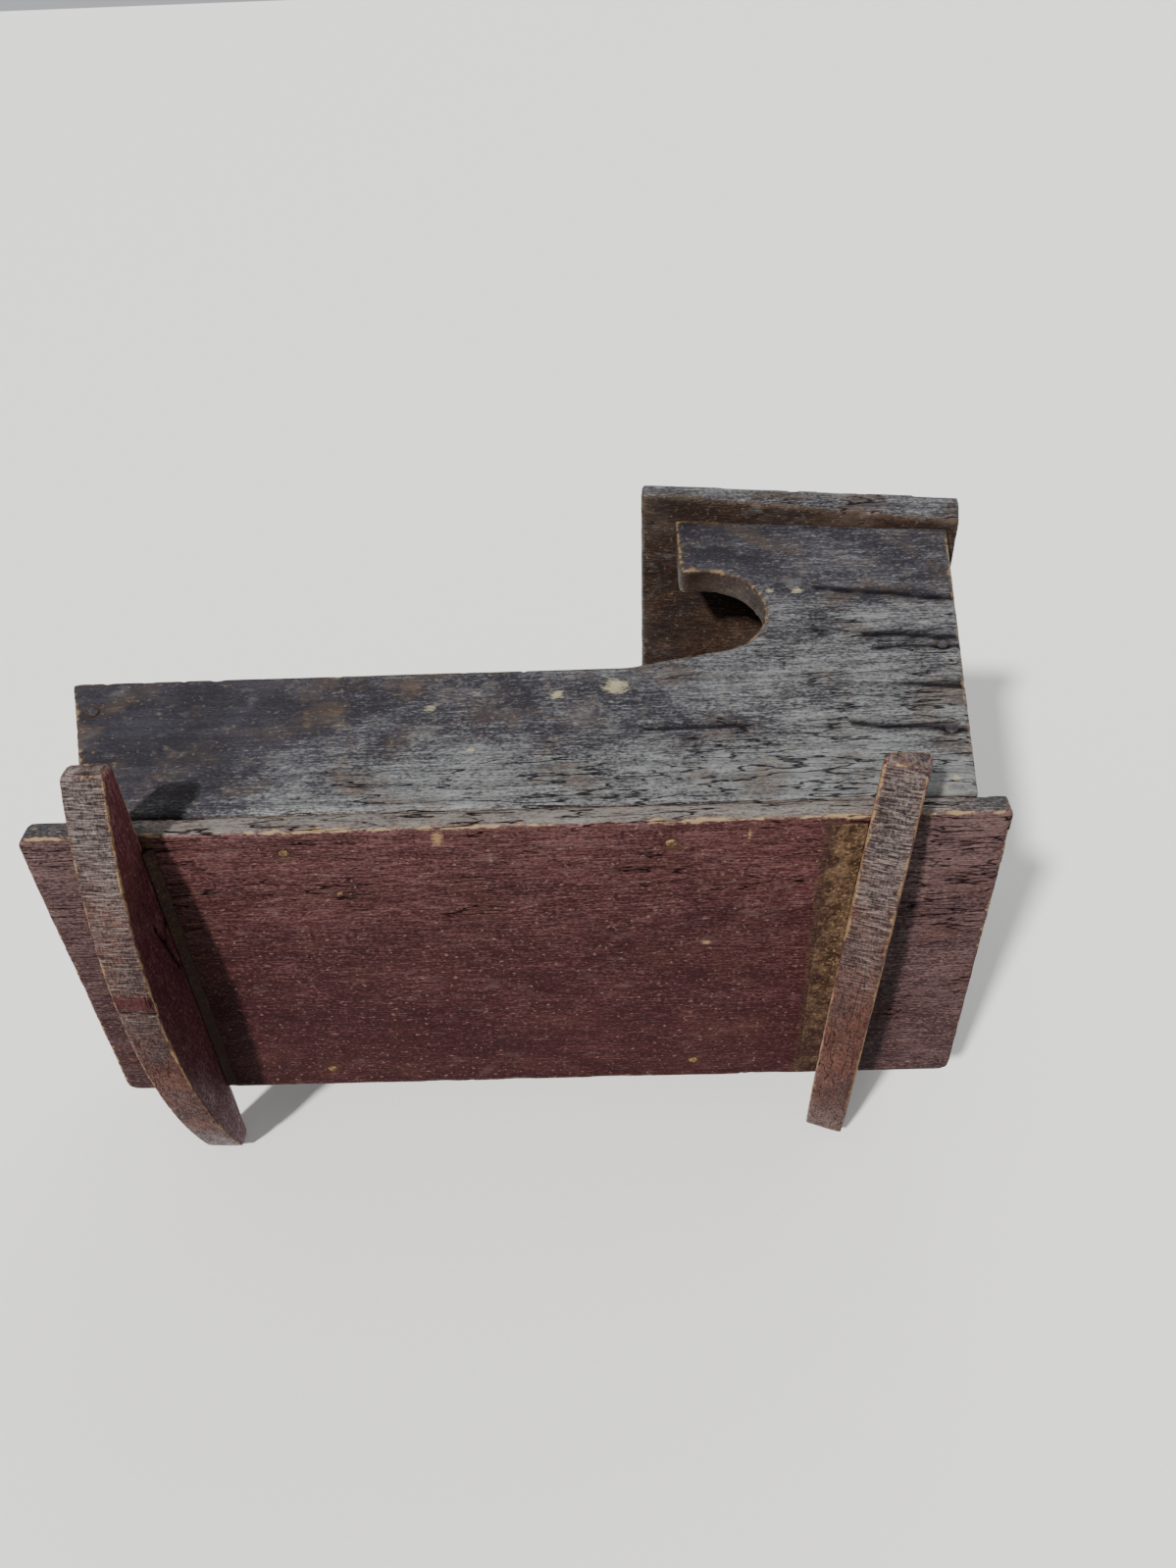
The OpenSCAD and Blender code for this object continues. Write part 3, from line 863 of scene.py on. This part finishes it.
class CRADLE_OT_rockers(bpy.types.Operator):
    """Builds the two rockers with saw marks on their curved edges"""

    bl_idname = "cradle.rockers"
    bl_label = "Rockers"

    def execute(self, context):
        looks = context.scene.cradle_looks
        for way, node in ((-1, "foot_rocker"), (1, "head_rocker")):
            normal = board_normal(node, Vector((-way, 0, 0)))
            turn = axes_from(normal, Vector((0, 1, 0)))
            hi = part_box(node)[1]

            def sawn_edge(n):
                return step(0.8, 0.45, np.abs(n @ np.array(normal)))

            def break_at(p):
                """How far each point is along Y from the old break across the foot rocker."""
                return p[:, 1] - (-0.005 + 0.4 * MM * noise(p, 2.5 * MM, 95, 2))

            def in_split(p, n):
                face = np.array((hi[0], 0, 0))
                on = [(face + np.array((0, *a)) * MM, face + np.array((0, *b)) * MM) for a, b in SPLIT]
                gap = distance_to(p * (0, 1, 1) + face, on) + 0.12 * MM * noise(p, 0.8 * MM, 97, 2)
                return step(0.5, 0.9, n[:, 0]) * step(0.6 * MM, 0.15 * MM, gap)

            def corners(e):
                at_tip = all(abs(v.co.y) > 0.95 * hi[1] for v in e.verts)
                return looks.tip_wear if at_tip and min(v.co.z for v in e.verts) < 0.011 else 0

            def carve(p, n):
                edge = sawn_edge(n)
                y = p[:, 1] + 0.5 * MM * noise(p, 5 * MM, 91, 2)
                teeth = noise(np.stack([y * 0, y, y * 0], 1), (1, 0.7 * MM, 1), 92 + way, 2)
                depth = edge * 0.03 * MM * (1 + teeth)
                if way < 0:
                    # the break was glued again: a thin groove with a step beside it, but none where the rocker stands
                    off = break_at(p)
                    standing = step(3 * MM, 10 * MM, np.abs(p[:, 1]))
                    depth += edge * (0.3 * MM * bell(off, 0.3 * MM) + 0.14 * MM * standing * step(0, 6 * MM, off))
                    depth += 0.6 * MM * in_split(p, n)
                return depth

            def fields(p, n):
                edge = sawn_edge(n)
                y = p[:, 1] + 2 * MM * noise(p, 3 * MM, 99, 2)
                red = dark = np.zeros(len(p))
                if way < 0:
                    bare, sawn = step(-0.0055, 0.012, y), step(0.006, -0.006, y)
                    red = bell(p[:, 1] + 0.0071, 1.7 * MM, 4) * edge  # the stain beside the break
                    dark = np.maximum(bell(break_at(p), 0.28 * MM) * edge, in_split(p, n))
                else:
                    bare, sawn = step(-0.02, 0.012, y), step(0.004, -0.014, y)
                bare = np.maximum(bare * 0.8, 0.55 * step(-0.038, -0.016, y)) * edge
                teeth = edge * (0.2 + 0.8 * sawn) * (1 - 0.8 * red)
                age, tone = edge * (0.4 + 0.4 * sawn), edge * (1 - red)
                return dict(stain=bare, age=age, sawn=teeth, tone=tone, rust=red, dark=dark)

            pine = old_wood("sawn_pine_" + node, 1, SAWN | dict(shift=(way * 2.0, 4.0, way * 3.0)))
            worn_board(node, pine, 81 + way, fields, turn=turn, cell=0.36 * MM, corners=corners, carve=carve, wear=0.9)
        return {"FINISHED"}


def nail_mesh(bm, head, tip, head_r, shank_r, rng):
    """Adds one hammered nail: a slightly domed, uneven head on a shank that tapers to a point."""
    axis = (tip - head).normalized()
    side = axis.orthogonal().normalized()
    other = axis.cross(side)
    long, thick, sides = (tip - head).length, 0.42 * MM, 20
    rings = [  # depth under the head's top, and radius
        (0.03 * MM, 0.25 * head_r),
        (0.05 * MM, 0.6 * head_r),
        (0.11 * MM, 0.88 * head_r),
        (0.22 * MM, head_r),
        (thick, 0.93 * head_r),
        (thick + 0.05 * MM, shank_r * 1.1),
        (thick + 0.6 * MM, shank_r),
        (long * 0.8, shank_r * 0.98),
        (long - 0.15 * MM, shank_r * 0.3),
    ]
    dents = [1 + 0.05 * rng.standard_normal() for _ in range(sides)]
    loops = []
    for depth, radius in rings:
        loop = []
        for k in range(sides):
            a = 2 * math.pi * k / sides
            r = min(radius * (dents[k] if radius > shank_r * 1.2 else 1), head_r)
            middle = head + axis * (depth + 0.02 * MM * rng.random())
            loop.append(bm.verts.new(middle + (side * math.cos(a) + other * math.sin(a)) * r))
        loops.append(loop)
    for a, b in zip(loops, loops[1:]):
        for k in range(sides):
            bm.faces.new((a[k], b[k], b[(k + 1) % sides], a[(k + 1) % sides]))
    bm.faces.new(loops[0])
    bm.faces.new(tuple(reversed(loops[-1])))


class CRADLE_OT_nails(bpy.types.Operator):
    """Builds the nails of every joint, with hammered, rusted heads"""

    bl_idname = "cradle.nails"
    bl_label = "Nails"

    def execute(self, context):
        bare = rusty_iron("rusted_iron_nails", "4A3524", "7A5E40", "A58962")
        hidden = rusty_iron("rusted_iron_nails_painted_over", "232023", "363338", "4E4B49")
        rng = np.random.default_rng(7)
        for node in NAIL_NODES:
            bm = bmesh.new()
            for nail in nails_of(node):
                nail_mesh(bm, *nail, rng)
            mesh = bpy.data.meshes.new(node + "_hammered")
            bm.to_mesh(mesh)
            bm.free()
            mesh.shade_smooth()
            finished(node + "_hammered", mesh, bare if node == "bottom_nails" else hidden, node)
        return {"FINISHED"}


class CRADLE_OT_glue(bpy.types.Operator):
    """Builds the old glue beside the rockers as lumpy, hardened runs"""

    bl_idname = "cradle.glue"
    bl_label = "Old Glue"

    def execute(self, context):
        foot_rim, head_rim = (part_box(node)[0][0] for node in ("foot_rocker_glue", "head_rocker_glue"))
        thin_rim, thick_rim = (foot_rim - 2 * MM, foot_rim - MM), (head_rim, head_rim + 3 * MM)
        # the thin run beside the foot rocker is coloured darker than the thick one, partly glue and dirt and partly
        # painted shade from the rocker
        thin = hide_glue("hide_glue_thin", "2C1C15", "443022", "5C4733", (-0.02, 0.03), thin_rim)
        thick = hide_glue("hide_glue_thick", "382619", "614B36", "8E7150", (-0.004, 0.028), thick_rim)
        for seed, node, glue in ((101, "foot_rocker_glue", thin), (103, "head_rocker_glue", thick)):
            mesh = remeshed(hull_of(node), 0.2 * MM)
            p, n = points_of(mesh)
            pushed_in(mesh, p, n, 0.09 * MM * (1 + noise(p, (1.6 * MM, 2.4 * MM, 1.6 * MM), seed, 3)))
            finished(node + "_run", mesh, glue, node)
        return {"FINISHED"}


# ---------------------------------------------------------------- stage

# where the viewer stands, low on the right-hand side and looking up under the cradle, as it lies on its left side
EYE = Vector((0.011377, -0.147406, -0.118740))
EYE_RIGHT = Vector((0.999464, 0.032122, -0.006392))
EYE_UP = Vector((0.028819, -0.769806, 0.637626))
# each light: the way from the cradle to it, how wide it looks from there in degrees, which setting gives its strength,
# and how many times that
LIGHTS = {
    "key": ((-0.387, -0.687, -0.615), 4, "key_power", 1),
    "top": ((0.25, -0.45, 0.85), 60, "fill_power", 1),
    "back": ((-0.35, 0.8, 0.5), 60, "fill_power", 2),
    "end": ((0.85, 0.1, 0.5), 60, "fill_power", 1),
}
ROOM = 4.0  # half the width of the room of paper, in metres


def sheet(name, centre, along, up, material):
    """A flat one-sided sheet, as wide as the room, whose front faces along x up."""
    centre, along, up = Vector(centre), Vector(along), Vector(up)
    bm = bmesh.new()
    bm.faces.new([bm.verts.new(centre + (along * a + up * b) * ROOM) for a, b in ((-1, -1), (1, -1), (1, 1), (-1, 1))])
    bmesh.ops.subdivide_edges(bm, edges=bm.edges, cuts=3, use_grid_fill=True)
    mesh = bpy.data.meshes.new(name)
    bm.to_mesh(mesh)
    bm.free()
    mesh.materials.append(material)
    obj = bpy.data.objects.new(name, mesh)
    bpy.context.scene.collection.objects.link(obj)
    # it neither shades the cradle nor throws light back on it, which would wash out the shadows
    obj.visible_shadow = obj.visible_diffuse = obj.visible_glossy = False


def lamp(name, toward, spread, strength):
    """A far, soft light."""
    data = bpy.data.lights.new(name, "SUN")
    data.angle, data.energy = math.radians(spread), strength
    obj = bpy.data.objects.new(name, data)
    bpy.context.scene.collection.objects.link(obj)
    obj.location = toward.normalized()
    obj.rotation_mode = "QUATERNION"
    obj.rotation_quaternion = (-toward).to_track_quat("-Z", "Y")


class CRADLE_OT_stage(bpy.types.Operator):
    """Sets up the floor, the backdrop that the cradle leans on, the lights and the camera"""

    bl_idname = "cradle.stage"
    bl_label = "Stage"

    def execute(self, context):
        looks = context.scene.cradle_looks
        pale = paper("pale_paper", looks.floor_colour)
        sheet("floor", (0, 0, 0), (1, 0, 0), (0, 1, 0), pale)
        # the backdrop touches the roof's edge and the rocker tips, as the table does when the cradle lies on its side
        tip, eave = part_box("foot_rocker"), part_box("hood_roof")
        low = Vector((0, tip[1][1], tip[0][2] + 8 * MM))
        high = Vector((0, eave[1][1], (eave[0][2] + eave[1][2]) / 2))
        sheet("backdrop", low + Vector((0, 0.6 * MM, 0)), (1, 0, 0), (high - low).normalized(), pale)
        # three far walls close the room for a viewer on the other sides
        sheet("wall_right", (0, -ROOM, 0), (-1, 0, 0), (0, 0, 1), pale)
        sheet("wall_foot", (-ROOM, 0, 0), (0, 1, 0), (0, 0, 1), pale)
        sheet("wall_head", (ROOM, 0, 0), (0, -1, 0), (0, 0, 1), pale)

        world = bpy.data.worlds.new("soft_room")
        context.scene.world = world
        world.use_nodes = True
        room = world.node_tree.nodes["Background"]
        room.inputs["Color"].default_value = (0.95, 0.97, 1.0, 1)
        room.inputs["Strength"].default_value = 0.52
        for name, (toward, spread, setting, times) in LIGHTS.items():
            lamp(name, Vector(toward), spread, getattr(looks, setting) * times)

        data = bpy.data.cameras.new("viewer")
        data.sensor_width, data.lens = 36.0, 27.04
        data.clip_start, data.clip_end = 0.005, 50
        camera = bpy.data.objects.new("viewer", data)
        context.scene.collection.objects.link(camera)
        back = EYE_RIGHT.cross(EYE_UP).normalized()
        turn = Matrix((EYE_RIGHT, EYE_UP, back)).transposed().to_4x4()
        camera.matrix_world = Matrix.Translation(EYE) @ turn
        context.scene.camera = camera
        return {"FINISHED"}


# ---------------------------------------------------------------- add-on

STEPS = (
    CRADLE_OT_bottom_board,
    CRADLE_OT_side_boards,
    CRADLE_OT_end_boards,
    CRADLE_OT_hood_roof,
    CRADLE_OT_rockers,
    CRADLE_OT_nails,
    CRADLE_OT_glue,
    CRADLE_OT_stage,
)


class CRADLE_PT_panel(bpy.types.Panel):
    bl_label = "Doll's Cradle"
    bl_idname = "CRADLE_PT_panel"
    bl_space_type = "VIEW_3D"
    bl_region_type = "UI"
    bl_category = "Cradle"

    def draw(self, context):
        looks = context.scene.cradle_looks
        for name in CradleLooks.__annotations__:
            self.layout.prop(looks, name)
        for operator in STEPS:
            self.layout.operator(operator.bl_idname)


def register():
    for cls in (CradleLooks, *STEPS, CRADLE_PT_panel):
        bpy.utils.register_class(cls)
    bpy.types.Scene.cradle_looks = bpy.props.PointerProperty(type=CradleLooks)


def unregister():
    del bpy.types.Scene.cradle_looks
    for cls in reversed((CradleLooks, *STEPS, CRADLE_PT_panel)):
        bpy.utils.unregister_class(cls)


def build():
    """Builds the whole cradle, one operator after another."""
    register()
    for operator in STEPS:
        group, name = operator.bl_idname.split(".")
        getattr(getattr(bpy.ops, group), name)()


if __name__ == "__main__":
    build()
